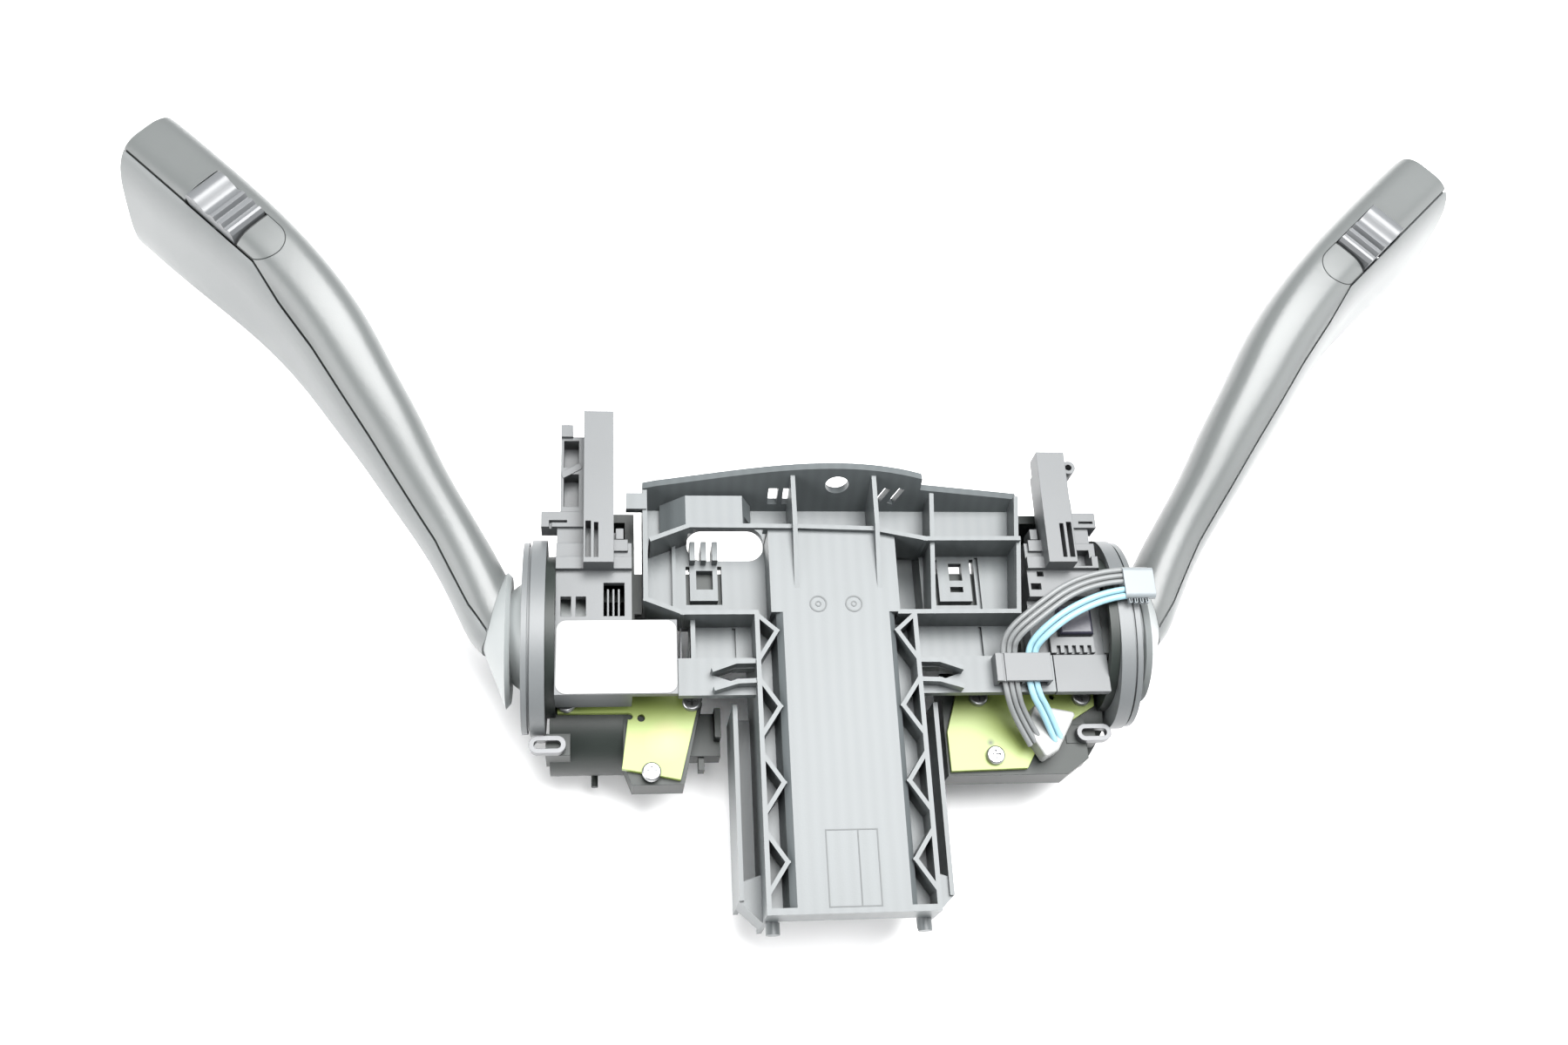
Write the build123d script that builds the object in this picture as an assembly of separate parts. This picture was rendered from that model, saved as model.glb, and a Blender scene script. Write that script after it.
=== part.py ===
from build123d import *
from math import atan, copysign, cos, degrees, pi, radians, sin, sqrt
import os

# Millimetres. X runs across the column, Y along it towards the steering wheel, Z up from the
# surface that the switch lies on. Each switch module is drawn on the +X side and mirrored.
DATUM_Y = 3.202

# Column bracket
TONGUE_TOP = 46.0
TONGUE_WALL_X = 21.4
TONGUE_END_Y = -102.4
TONGUE_HEAD_Y = -25.2
TONGUE_SPLIT_Y = -47.0
WALL = 1.2
SKIN = 2.4
PLATEAU_HALF = 15.6
CHANNEL_FLOOR = 37.5
TONGUE_FOOT = 19.0
RAIL_X = 27.0
RAIL_TOP = 36.0
RAIL_BASE = 16.0
RAIL_END_Y = -97.0
TRUSS_TOP_NODES = (-30.3, -38.2)
TRUSS_PITCH = 19.6
DECK_UNDER = 33.5
DECK_TOP = DECK_UNDER + 2.5
SHELF_TOP = 47.5
BACK_WALL_LEAN = 18.0
BACK_WALL_Y = 8.0
BACK_WALL_THICK = 2.2
COLUMN_HOLE_R = 3.2
COLUMN_HOLE_X = 2.4
COLUMN_HOLE_UP = 10.6
ARM_UNDER = 39.5
ARM_TOP = ARM_UNDER + 2.5
ARM_Y = (-46.3, -36.3)

# Switch module
PIVOT = (72.0, -26.0, 30.0)
BODY_X = (52.0, 72.5)
FLANGE_X = 75.0
BODY_TOP = DECK_UNDER
CHAMBER_FLOOR = 19.0
TRAY_TOP = 28.3
TRAY_UNDER = 19.0
TRAY_WALL = 2.0
DRUM_R = 12.4
DRUM_Y = -47.0
DRUM_END_X = 74.0
CEILING = ARM_TOP
COVER_TOP = CEILING + 2.0
COVER_X = 52.9
RECESS_TOP = CEILING - 1.4
RECESS_CEILING = RECESS_TOP - 1.4
POCKET_FLOOR = RECESS_CEILING + 0.8
POST_X = (57.6, 65.4)
POST_TOP = COVER_TOP + 6.0
BOARD_THICK = 1.6

# Lever joint
BELL_R = 17.0
BELL_WALL = 2.0
BELL_GAP = 0.35
BELL_CUT = 5.0
FLANGE_BORE_R = BELL_R + 0.8
FLANGE_HALF = (BELL_R + 4.6, BELL_R + 1.9)
COLLAR_STEPS = (
    (75.0, 78.8, BELL_R + 9.6, BELL_R + 2.0),
    (78.8, 79.5, BELL_R + 8.0, BELL_R + 1.0),
    (79.5, 81.0, BELL_R + 9.0, BELL_R + 1.5),
)
COLLAR_TOP = PIVOT[2] + BELL_R + 2.0
LOOP_SIZE = (9.4, 4.6)
LOOP_WALL = 1.25
LOOP_RIGHT = (70.2, -54.2)
LOOP_LEFT = (74.4, PIVOT[1] - BELL_R - 9.6 - 0.5 - LOOP_SIZE[1] / 2)
NECK_FACE = 84.0
SKIRT = (
    (NECK_FACE, -0.8, 17.0, 12.8),
    (NECK_FACE + 1.2, -0.8, 18.4, 14.2),
    (91.5, 4.0, 7.0, 6.0),
)
BOSS_R = 4.6
BOSS_HALF = 4.5
PIN_R = 2.0
RUNNING_GAP = 0.05
CARRIER_X = (-8.5, 5.0)
CARRIER_Y = 8.2
CARRIER_Z = 7.5
WINDOW_X = -5.6
WINDOW_Y = 5.6
WINDOW_Z = 4.8
TRUNNION_R = 2.5
TRUNNION_END = 11.5
BEARING_Y = (8.5, 11.8)
BEARING_Z = 3.4
DETENT_R = 14.5
PLUNGER_R = 1.8
PLUNGER_X = (-9.2, -12.5)
DETENT_BOSS_R = 3.4
DETENT_BOSS_END = -12.0
DETENT_BORE_END = -6.2

# Stalk: x, y, z, heading, half thickness, half depth, lean, roundness of each section
SECTIONS = (
    (85.5, -24.5, 29.6, 50.0, 8.2, 9.6, 0.4, 2.2),
    (91.0, -17.0, 30.6, 56.0, 7.9, 10.1, 0.6, 2.2),
    (99.8, -0.8, 34.0, 60.0, 7.6, 10.4, 1.0, 2.2),
    (109.1, 13.4, 38.4, 61.5, 8.0, 11.4, 1.4, 2.3),
    (116.2, 25.0, 41.8, 60.5, 8.8, 12.7, 1.8, 2.4),
    (123.7, 36.6, 44.4, 57.5, 9.4, 14.4, 2.2, 2.6),
    (131.2, 48.4, 46.2, 52.0, 10.0, 16.6, 2.6, 2.8),
    (140.4, 60.7, 46.8, 46.0, 10.2, 19.2, 2.8, 3.0),
    (151.0, 72.5, 46.6, 42.5, 10.2, 21.2, 2.8, 3.3),
    (164.2, 85.1, 46.5, 42.0, 10.5, 21.9, 2.8, 3.5),
    (177.0, 96.8, 46.6, 42.5, 10.8, 21.9, 2.8, 3.5),
    (184.0, 103.1, 46.7, 42.8, 10.7, 21.8, 2.8, 3.5),
)
RING_POINTS = 20
TIP_ROUND = 1.4
SEAM_START = (148.66, 63.61)
SEAM_HEADING = 43.0
SEAM_KINK = 4.0
SEAM_GROOVE = 0.5
SEAM_DEPTH = 0.8
NECK_SEAM = 0.62
CAVITY_WALL = 2.2
POCKET_WALL = 1.8
SPIGOT_R = 4.5

# Rocker at the stalk's tip, in lengths along the seam from SEAM_START
SLOT_FLOOR = 59.2
SLOT_WIDTH = 11.5
SLOT_END = 29.4
INSERT_CENTRE = 5.8
INSERT_END = 10.1
ROCKER_ENDS = (11.0, 28.1)
ROCKER_GAP = 0.3
ROCKER_BASE = 60.9
ROCKER_TOP = 70.6
ROCKER_AXIS = (19.5, 62.8)
ROCKER_PIN_R = 1.0
ROCKER_PIN_ENDS = (-1.2, 14.1)

# Boards and harness
SCREW_HEAD_R = 2.5
SCREW_HEAD = 1.5
SCREW_R = 1.1
SCREW_LENGTH = 7.0
RIGHT_SCREWS = ((67.9, -44.3), (39.5, -44.0), (42.6, -60.0))
LEFT_SCREWS = ((69.7, -44.4), (37.2, -44.4), (47.9, -62.9))
LABEL_X = (41.6, 72.2)
LABEL_Y = (-46.2, -26.6)
LABEL_THICK = 0.2
BLUE_WIRE_R = 0.85
GREY_WIRE_R = 0.75
CLIP_X = (41.0, 55.8)
CLIP_Y = (-44.6, -37.0)
CLIP_TOP = ARM_TOP + 4.4
CLIP_LEAD_Z = ARM_TOP + 2.0
SLEEVE_LEAD_Z = COLLAR_TOP + 2.3
LEAD_BEND = 5.0
BLUE_ROUTE = (
    (83.4, -21.8, SLEEVE_LEAD_Z),
    (75.0, -21.8, SLEEVE_LEAD_Z),
    (62.0, -26.6, SLEEVE_LEAD_Z - 0.3),
    (53.2, -32.8, CLIP_LEAD_Z + 4.0),
    (51.0, -36.2, CLIP_LEAD_Z),
    (51.0, -46.8, CLIP_LEAD_Z),
    (55.2, -50.6, 38.6),
    (58.8, -57.4, 34.4),
)
GREY_ROUTE = (
    (83.4, -17.4, SLEEVE_LEAD_Z),
    (75.0, -17.0, SLEEVE_LEAD_Z),
    (62.6, -20.2, SLEEVE_LEAD_Z - 0.3),
    (53.0, -26.8, CLIP_LEAD_Z + 6.0),
    (45.7, -32.2, CLIP_LEAD_Z + 3.6),
    (45.1, -36.2, CLIP_LEAD_Z),
    (45.1, -46.8, CLIP_LEAD_Z),
    (48.2, -51.4, 37.6),
    (52.6, -57.6, 34.2),
)
PLUG_OUTLINE = [(53.2, -47.6), (64.5, -49.9), (58.5, -60.1), (54.9, -62.1), (50.7, -54.4)]
PLUG_HEIGHT = 5.4


def box(x0, x1, y0, y1, z0, z1):
    """Box between two corners."""
    centre = Pos((x0 + x1) / 2, (y0 + y1) / 2, (z0 + z1) / 2)
    return centre * Box(abs(x1 - x0), abs(y1 - y0), abs(z1 - z0))


def prism(points, z0, z1):
    """Polygon in the XY plane, raised from z0 to z1."""
    return Pos(0, 0, z0) * extrude(make_face(Polyline(*points, close=True)), z1 - z0)


def slab_x(points, x0, x1):
    """Polygon of (y, z) points, drawn out along X."""
    plane = Plane(origin=(x0, 0, 0), x_dir=(0, 1, 0), z_dir=(1, 0, 0))
    return extrude(plane * make_face(Polyline(*points, close=True)), x1 - x0)


def slab_y(points, y0, y1):
    """Polygon of (x, z) points, drawn out along Y."""
    plane = Plane(origin=(0, y1, 0), x_dir=(1, 0, 0), z_dir=(0, -1, 0))
    return extrude(plane * make_face(Polyline(*points, close=True)), y1 - y0)


def rod(x, y, z0, z1, radius):
    """Upright cylinder."""
    return Pos(x, y, (z0 + z1) / 2) * Cylinder(radius, z1 - z0)


def rod_x(x0, x1, y, z, radius):
    """Cylinder along X."""
    return Pos((x0 + x1) / 2, y, z) * Rot(0, 90, 0) * Cylinder(radius, abs(x1 - x0))


def rod_y(x, y0, y1, z, radius):
    """Cylinder along Y."""
    return Pos(x, (y0 + y1) / 2, z) * Rot(90, 0, 0) * Cylinder(radius, abs(y1 - y0))


def rib(points, thick, z0, z1):
    """Upright rib of even thickness that follows a row of points."""
    made = None
    for (xa, ya), (xb, yb) in zip(points, points[1:]):
        length = sqrt((xb - xa) ** 2 + (yb - ya) ** 2)
        turn = degrees(atan((yb - ya) / (xb - xa))) if xb != xa else 90.0
        place = Pos((xa + xb) / 2, (ya + yb) / 2, (z0 + z1) / 2) * Rot(0, 0, turn)
        piece = place * Box(length + thick, thick, z1 - z0)
        made = piece if made is None else made + piece
    return made


def ball(radius):
    """Sphere about the lever's pivot, its poles on the X axis."""
    return Pos(*PIVOT) * Rot(0, 90, 0) * Sphere(radius)


def both(shape):
    """A shape and its mirror image across the column."""
    return shape + shape.mirror(Plane.YZ)


def tongue_top(y0, y1):
    """Raised middle of the tongue with a channel on either side of it."""
    inner = TONGUE_WALL_X - WALL
    half = [
        (0, TONGUE_TOP),
        (PLATEAU_HALF - 1.6, TONGUE_TOP),
        (PLATEAU_HALF, TONGUE_TOP - 1.8),
        (PLATEAU_HALF + 0.9, CHANNEL_FLOOR),
        (inner, CHANNEL_FLOOR),
        (inner, CHANNEL_FLOOR - WALL),
        (PLATEAU_HALF - 1.4, CHANNEL_FLOOR - WALL),
        (PLATEAU_HALF - 2.6, TONGUE_TOP - SKIN),
        (0, TONGUE_TOP - SKIN),
    ]
    return both(slab_y(half, y0, y1))


def tongue_wall(y0, y1):
    """Outer wall of the tongue on the +X side."""
    return box(TONGUE_WALL_X - WALL, TONGUE_WALL_X, y0, y1, TONGUE_FOOT, TONGUE_TOP)


def tongue_plate():
    """Free end of the tongue between its two walls, braced by the zigzag ribs."""
    inner = TONGUE_WALL_X - WALL
    made = tongue_top(TONGUE_END_Y, TONGUE_SPLIT_Y)
    made += truss() & box(-inner, inner, TONGUE_END_Y, TONGUE_SPLIT_Y, 30, 50)
    return made + box(-inner, inner, TONGUE_END_Y, TONGUE_END_Y + 1.6, 36.4, TONGUE_TOP)


def tongue_side():
    """Outer wall of the tongue's free end with its low guide rail and end peg."""
    made = tongue_wall(TONGUE_END_Y, TONGUE_SPLIT_Y)
    rail = [
        (TONGUE_WALL_X - 0.6, 22.0),
        (RAIL_X - WALL, 22.0),
        (RAIL_X - WALL, RAIL_TOP),
        (RAIL_X, RAIL_TOP),
        (RAIL_X, RAIL_BASE),
        (RAIL_X - WALL, RAIL_BASE),
        (RAIL_X - WALL, 20.4),
        (TONGUE_WALL_X - 0.6, 20.4),
    ]
    made += slab_y(rail, RAIL_END_Y, TONGUE_SPLIT_Y)
    corner = [
        (TONGUE_WALL_X - 0.6, -90.5),
        (RAIL_X - 0.3, -92.5),
        (RAIL_X, RAIL_END_Y),
        (TONGUE_WALL_X, TONGUE_END_Y),
        (TONGUE_WALL_X - 0.6, TONGUE_END_Y),
    ]
    made += prism(corner, 24.0, RAIL_TOP - 1.0)
    return made + rod_y(19.0, TONGUE_END_Y - 3.0, TONGUE_END_Y, 34.8, 1.8)


def truss():
    """Zigzag ribs that brace the tongue's walls, mirrored left and right."""
    outer = TONGUE_WALL_X - WALL / 2
    inner = PLATEAU_HALF + 0.2
    made = rib([(inner, TRUSS_TOP_NODES[0]), (outer - 0.4, TONGUE_HEAD_Y - 1.0)], 1.1, 36.6, TONGUE_TOP)
    made += rib([(inner, TRUSS_TOP_NODES[0]), (outer, TRUSS_TOP_NODES[1])], 1.1, 36.6, TONGUE_TOP)
    for step in range(3):
        y = -50.6 - TRUSS_PITCH * step
        made += rib([(outer, y + 7.4), (inner, y), (outer, y - 7.6)], 1.1, 36.6, TONGUE_TOP)
    return both(made)


def back_wall():
    """Leaning wall at the head of the deck, with its bowed edge, bolt hole and slots."""
    plane = Plane(
        origin=(0, BACK_WALL_Y, DECK_TOP),
        x_dir=(1, 0, 0),
        z_dir=(0, -cos(radians(BACK_WALL_LEAN)), sin(radians(BACK_WALL_LEAN))),
    )
    bow = Spline((-46.5, 9.8), (-14.0, 15.8), (0.0, 16.9), (25.6, 13.0))
    edge = Polyline(
        (25.6, 13.0),
        (25.6, 8.8),
        (53.2, 5.2),
        (53.2, -2.4),
        (-50.0, -2.4),
        (-50.0, 8.8),
        (-46.5, 9.8),
    )
    made = extrude(plane * make_face(bow + edge), -BACK_WALL_THICK)
    hole = Pos(COLUMN_HOLE_X, COLUMN_HOLE_UP, 0) * Cylinder(COLUMN_HOLE_R, 12)
    made -= plane * hole
    for x in (-14.7, -10.7):
        made -= plane * (Pos(x, 6.0, 0) * Box(2.6, 6.2, 12))
    for x in (15.2, 19.2):
        made -= plane * (Pos(x, 6.2, 0) * Rot(0, 0, -24) * Box(1.7, 6.4, 12))
    return made


def deck():
    """Ribbed deck between the modules, with its latch tabs and openings."""
    plate = [
        (-50, 10),
        (-50, -21.4),
        (-40.2, -25.8),
        (-40.2, -37),
        (50, -37),
        (50, -24),
        (53, 9),
    ]
    made = prism(plate, DECK_UNDER, DECK_TOP)
    made += box(-PLATEAU_HALF - 1.4, PLATEAU_HALF + 1.4, TONGUE_HEAD_Y, -1.5, DECK_UNDER, TONGUE_TOP)
    made -= box(-PLATEAU_HALF + 0.6, PLATEAU_HALF - 0.6, -40, -3.5, DECK_UNDER - 1, TONGUE_TOP - SKIN)
    made += box(16.4, 27.4, -25.4, -1.0, 25.5, DECK_TOP)
    made -= box(18.2, 25.4, -24.2, -2.6, 27.0, DECK_TOP + 1)
    made += rib([(-49.4, 9), (-49.4, -21.4), (-40.0, -25.2), (-20.9, -25.2)], WALL, DECK_UNDER, TONGUE_TOP)
    made += rib([(17.0, -25.2), (48.9, -25.2), (52.3, 8.6)], WALL, DECK_UNDER, TONGUE_TOP - 2.0)
    made += rib([(17.0, -25.2), (48.9, -25.2), (51.0, -4.9)], WALL, DECK_UNDER, TONGUE_TOP)
    made += rib([(28.2, 8.4), (25.9, -25.2)], WALL, DECK_UNDER, TONGUE_TOP)
    shelf = [(-47.7, -5.2), (-37.8, -1.3), (-8.3, -1.5), (11.1, -2.1), (25.2, -5.0), (50.6, -4.9)]
    made += rib(shelf, WALL, DECK_UNDER, SHELF_TOP)
    made += rib([(-41.6, -3.4), (-41.6, -24.6)], 1.0, DECK_UNDER, DECK_TOP + 2.0)
    made += rib([(-37.2, -25.6), (-37.2, -36.8)], 1.2, DECK_UNDER, ARM_TOP)
    return made + gussets() + lug()


def gussets():
    """Two tapering ribs from the back wall down on to the tongue."""
    outline = [
        (8.4, 36.5),
        (12.4, 49.6),
        (-1.5, 49.4),
        (-8.0, 48.0),
        (-18.6, TONGUE_TOP),
        (-18.6, 45.0),
        (-1.8, 45.0),
        (-1.8, 36.5),
    ]
    made = slab_x(outline, -9.4 - WALL, -9.4)
    return made + slab_x(outline, 11.4, 11.4 + WALL)


def lug():
    """Chamfered block behind the shelf, and the hooked lug at the deck's left corner."""
    block = [(-45.2, 35), (-45.2, 38.0), (-38.6, 44.6), (-23.4, 44.6), (-20.6, 38.0), (-20.6, 35)]
    made = slab_y(block, -0.9, 8.6)
    made += box(-54.4, -49.0, 3.8, 8.4, 44.0, 46.6)
    return made


def deck_cuts():
    """Openings through the deck: cable opening, latch slots, grooves and tab windows."""
    cuts = Pos(-27.6, -1.9, 20) * extrude(RectangleRounded(20.8, 9.8, 4.4), 23.4)
    cuts += box(-36.6, -18.2, -2.5, -0.7, 43.0, SHELF_TOP - 1.4)
    for left, right, top, low in ((-38.4, -28.8, -8.2, -19.4), (29.2, 40.4, -6.4, -19.8)):
        tab = box(left + 1.1, right - 1.1, low + 1.2, top + 1, 20, 50)
        cuts += box(left, right, low, top, 30, 40) - tab
    cuts += box(-35.6, -31.2, -15.0, -9.6, 30, 40)
    cuts += box(33.4, 37.0, -12.6, -7.6, 30, 40)
    cuts += box(33.4, 37.0, -16.0, -14.4, 30, 40)
    cuts += box(40.9, 41.8, -24.4, -5.8, 34.8, 40)
    cuts += box(-26.5, -25.6, -36.2, -26.0, 34.8, 40)
    cuts += box(-39.9, -38.0, -36.0, -26.0, 33.0, 40)
    cuts += box(40.0, 40.9, -36.2, -26.0, 34.8, 40)
    return cuts


def arms():
    """Side arms below the deck, each braced by a fork of two ribs on the tongue's wall."""
    made = box(20.6, 57.6, *ARM_Y, ARM_UNDER, ARM_TOP)
    made += box(-41.2, -20.6, *ARM_Y, ARM_UNDER, ARM_TOP)
    made += box(20.6, 50.0, ARM_Y[1] - WALL, ARM_Y[1], DECK_UNDER, ARM_TOP)
    made += box(-40.2, -20.6, ARM_Y[1] - WALL, ARM_Y[1], DECK_UNDER, ARM_TOP)
    gap = [(21.4, -39.2), (26.6, -39.2), (32.2, -41.0), (26.6, -43.0), (21.4, -43.0)]
    made -= both(prism(gap, 30, 50))
    fork = rib([(20.9, -38.3), (26.6, -38.4), (32.2, -40.4)], WALL, ARM_UNDER, TONGUE_TOP - 0.6)
    fork += rib([(20.9, -43.5), (26.2, -43.7), (31.8, -45.4)], WALL, ARM_UNDER, TONGUE_TOP - 0.6)
    return made + both(fork)


def clip_fingers():
    """Three upright fingers in the cable opening that hold a loom."""
    made = box(-38.6, -28.6, -8.4, -6.8, DECK_UNDER, DECK_TOP)
    for x in (-37.4, -34.4, -31.4):
        made += box(x, x + 1.4, -8.0, -2.6, 31.0, 39.4)
    return made


def column_bracket():
    """Moulded bracket that carries both modules, with the tongue's head between them."""
    head = (TONGUE_SPLIT_Y, TONGUE_HEAD_Y + 0.6)
    made = tongue_top(*head) + both(tongue_wall(*head))
    made += truss() & box(-50, 50, *head, 30, 50)
    made += deck() + back_wall() + arms()
    made -= deck_cuts()
    return made + clip_fingers()


def ellipse_plate(x0, x1, half_y, half_z):
    """Oval plate across X, centred on the lever's pivot."""
    plane = Plane(origin=(x0, PIVOT[1], PIVOT[2]), x_dir=(0, 1, 0), z_dir=(1, 0, 0))
    return extrude(plane * Ellipse(half_y, half_z), x1 - x0)


def drum_body():
    """Housing's block with its rounded drum in front, drawn from the side."""
    plane = Plane(origin=(BODY_X[0], 0, 0), x_dir=(0, 1, 0), z_dir=(1, 0, 0))
    low = TRAY_TOP - 2 * DRUM_R
    path = Polyline(
        (DRUM_Y, low),
        (-42.0, 0),
        (6.0, 0),
        (8.0, 2.0),
        (8.0, BODY_TOP),
        (-36.0, BODY_TOP),
        (-36.0, TRAY_TOP),
        (DRUM_Y, TRAY_TOP),
    )
    path += ThreePointArc((DRUM_Y, TRAY_TOP), (DRUM_Y - DRUM_R, TRAY_TOP - DRUM_R), (DRUM_Y, low))
    made = extrude(plane * make_face(path), BODY_X[1] - BODY_X[0])
    return made + rod_x(BODY_X[1], DRUM_END_X, DRUM_Y, TRAY_TOP - DRUM_R, DRUM_R)


def housing(tray, screws, left):
    """Lower shell of a module: drum, board tray, lever opening and pivot bearings."""
    px, py, pz = PIVOT
    made = drum_body()
    made -= box(54.5, 72.5, -34.6, -12.4, CHAMBER_FLOOR, 40)
    made -= box(54.5, 72.5, -10.4, 5.5, CHAMBER_FLOOR, 40)
    made += ellipse_plate(BODY_X[1], FLANGE_X, *FLANGE_HALF)
    made -= rod_x(70, 76, py, pz, FLANGE_BORE_R)
    made += prism(tray, TRAY_UNDER, TRAY_TOP) - tray_hollow(tray)
    made += box(28.0, 52.6, -21.0, -9.6, 25.8, DECK_UNDER)
    made += box(33.6, 40.2, -39.6, -37.5, TRAY_TOP - 1, ARM_UNDER)
    made += rod_y(62.4, DRUM_Y - DRUM_R - 1.6, DRUM_Y - DRUM_R + 4.0, 8.4, 0.9)
    if left:
        made += box(68.6, LOOP_LEFT[0] + 0.5, LOOP_LEFT[1] - 2.3, -51.9, 18.0, TRAY_TOP + 0.2)
        made += box(29.4, 39.6, -56.6, -45.0, 15.0, 21.6)
        made += box(29.4, 31.0, -52.6, -44.6, 21.0, 25.6)
        made += box(33.6, 35.2, -60.0, -55.0, 16.6, 20.4)
    else:
        corner = [(62.0, -66.0), (69.4, -61.2), (74.6, -51.0), (76.0, -51.0), (76.0, -66.0)]
        made -= prism(corner, 0, TRAY_TOP + 1)
        made += box(63.0, LOOP_RIGHT[0] + 1.0, LOOP_RIGHT[1] - 2.3, -51.4, 18.0, TRAY_TOP + 0.2)
    for x, y in screws:
        made += rod(x, y, TRAY_TOP - 9.0, TRAY_TOP, 2.8)
        made -= rod(x, y, TRAY_TOP - 8.0, TRAY_TOP + 1, SCREW_R)
    for side in (-1, 1):
        inner, outer = (py + side * y for y in BEARING_Y)
        made += box(54.0, px + 4.0, inner, outer, pz - BEARING_Z, pz + BEARING_Z)
    made -= rod_y(px, py - 14, py + 14, pz, TRUNNION_R + RUNNING_GAP)
    made += box(54.0, 59.0, py - 4, py + 4, pz - 7, BODY_TOP) - rod_y(px, py - 5, py + 5, pz, DETENT_R)
    for turn in (-8, 0, 8):
        groove = Pos(px, py, pz) * Rot(0, turn, 0) * Pos(-DETENT_R, 0, 0) * Rot(90, 0, 0) * Cylinder(0.7, 9)
        made -= groove
    return made


def tray_hollow(outline):
    """Room inside the board tray, one wall in from its outline."""
    inner = offset(make_face(Polyline(*outline, close=True)), -TRAY_WALL)
    return Pos(0, 0, TRAY_UNDER - 1) * extrude(inner, TRAY_TOP - TRAY_WALL - TRAY_UNDER + 1)


def cover(post_y, left):
    """Upper shell of a module with its guide post, windows and side frame."""
    px, py, pz = PIVOT
    low = -46.4 if left else -20.4
    made = box(COVER_X, 72.5, low, -5.0, BODY_TOP, COVER_TOP)
    if left:
        made += box(41.4, COVER_X, -46.4, -26.4, CEILING, COVER_TOP)
        made -= box(54.5, 71.0, -44.8, -8.0, BODY_TOP - 1, CEILING)
        made -= box(70.0, 73.0, py - 13.5, py + 13.5, BODY_TOP - 1, CEILING)
    else:
        made += box(COVER_X, 72.5, -36.2, low, BODY_TOP, RECESS_TOP)
        made += box(57.9, 72.5, -46.4, -36.2, ARM_UNDER, ARM_TOP)
        made -= box(54.5, 71.0, -34.6, -8.0, BODY_TOP - 1, RECESS_CEILING)
        made -= box(70.0, 73.0, py - 13.5, py + 13.5, BODY_TOP - 1, RECESS_CEILING)
    made += post(post_y)
    made += side_frame(left)
    return made - cover_windows(left)


def post(post_y):
    """Flat guide post that stands proud along the column, with two slots at its root."""
    made = box(*POST_X, -12.8, post_y, COVER_TOP - 0.5, POST_TOP)
    made += box(POST_X[0] + 1.0, POST_X[1] - 1.0, -5.5, post_y - 3.0, COVER_TOP - 5.5, COVER_TOP)
    made += box(COVER_X, 72.5, -12.8, -9.4, COVER_TOP - 0.5, COVER_TOP + 1.6)
    made += box(COVER_X + 1.0, POST_X[0] + 0.5, -7.6, -4.4, BODY_TOP + 4, COVER_TOP + 1.0)
    made += box(55.0, 57.0, -3.8, -0.8, BODY_TOP + 4.5, COVER_TOP)
    made += box(55.0, 58.0, -5.5, -0.8, BODY_TOP + 4.5, COVER_TOP - 3.0)
    made -= box(61.6, 62.7, -11.4, -1.6, COVER_TOP + 1.2, POST_TOP + 1)
    made -= box(63.5, 64.9, -11.4, -1.2, COVER_TOP + 1.2, POST_TOP + 1)
    return made


def side_frame(left):
    """Thin frame beside the post, crossed by a diagonal strap, on a small step."""
    inner = POST_X[1] - 0.8
    low = BODY_TOP + 2.5
    made = box(inner, 74.6, 0.6, 5.0, low, COVER_TOP - 2.0)
    made += box(inner, 72.4, -5.2, 0.8, low, COVER_TOP - 3.0)
    made -= box(69.8, 73.8, 1.8, 2.5, COVER_TOP - 3.4, COVER_TOP)
    if left:
        made += box(74.4, 76.6, 0.6, 5.0, low, COVER_TOP - 2.0)
        made -= box(73.8, 74.5, 0.4, 2.5, COVER_TOP - 3.4, COVER_TOP)
        made += box(inner, 71.6, 4.8, 27.4, low - 1.0, COVER_TOP - 2.4)
        made += box(68.4, 71.6, 27.0, 30.6, low - 1.0, COVER_TOP - 1.4)
        made -= box(66.8, 70.8, 6.6, 16.2, low + 0.4, COVER_TOP)
        made -= box(66.8, 70.8, 18.2, 26.2, low + 0.4, COVER_TOP)
        strap = Pos(68.8, 17.2, COVER_TOP - 2.8) * Rot(0, 0, -30) * Box(6.0, 1.8, 1.2)
        made += strap & box(66, 71.4, 5, 28, low, COVER_TOP)
    else:
        made += rod(66.6, 15.6, COVER_TOP - 4.0, POST_TOP - 1.0, 1.9)
        made -= rod(66.6, 15.6, COVER_TOP - 5.0, POST_TOP + 1.0, 0.9)
        made += box(inner, 69.0, 4.8, 10.0, low, COVER_TOP - 4.0)
    return made


def cover_windows(left):
    """Dark windows in the upper shell, one of them crossed by a comb."""
    if left:
        cuts = box(68.5, 71.2, -25.4, -20.0, POCKET_FLOOR, COVER_TOP)
        cuts += box(64.7, 67.3, -25.4, -20.0, POCKET_FLOOR, COVER_TOP)
        cuts += box(54.8, 60.2, -25.4, -16.2, POCKET_FLOOR, COVER_TOP)
        for x in (56.0, 57.4, 58.8):
            cuts -= box(x, x + 0.5, -26, -17.6, POCKET_FLOOR, COVER_TOP - 1.0)
        return cuts
    cuts = box(55.6, 57.4, -14.6, -13.2, POCKET_FLOOR, COVER_TOP)
    cuts += box(53.6, 56.4, -18.4, -16.6, POCKET_FLOOR, COVER_TOP)
    return cuts + box(66.6, 70.8, -12.2, -7.0, POCKET_FLOOR, COVER_TOP + 2)


def collar():
    """Stepped oval collar with a spherical seat round the lever's bell."""
    made = None
    for x0, x1, half_y, half_z in COLLAR_STEPS:
        step = ellipse_plate(x0, x1, half_y, half_z)
        made = step if made is None else made + step
    return made - ball(BELL_R + BELL_GAP)


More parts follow.
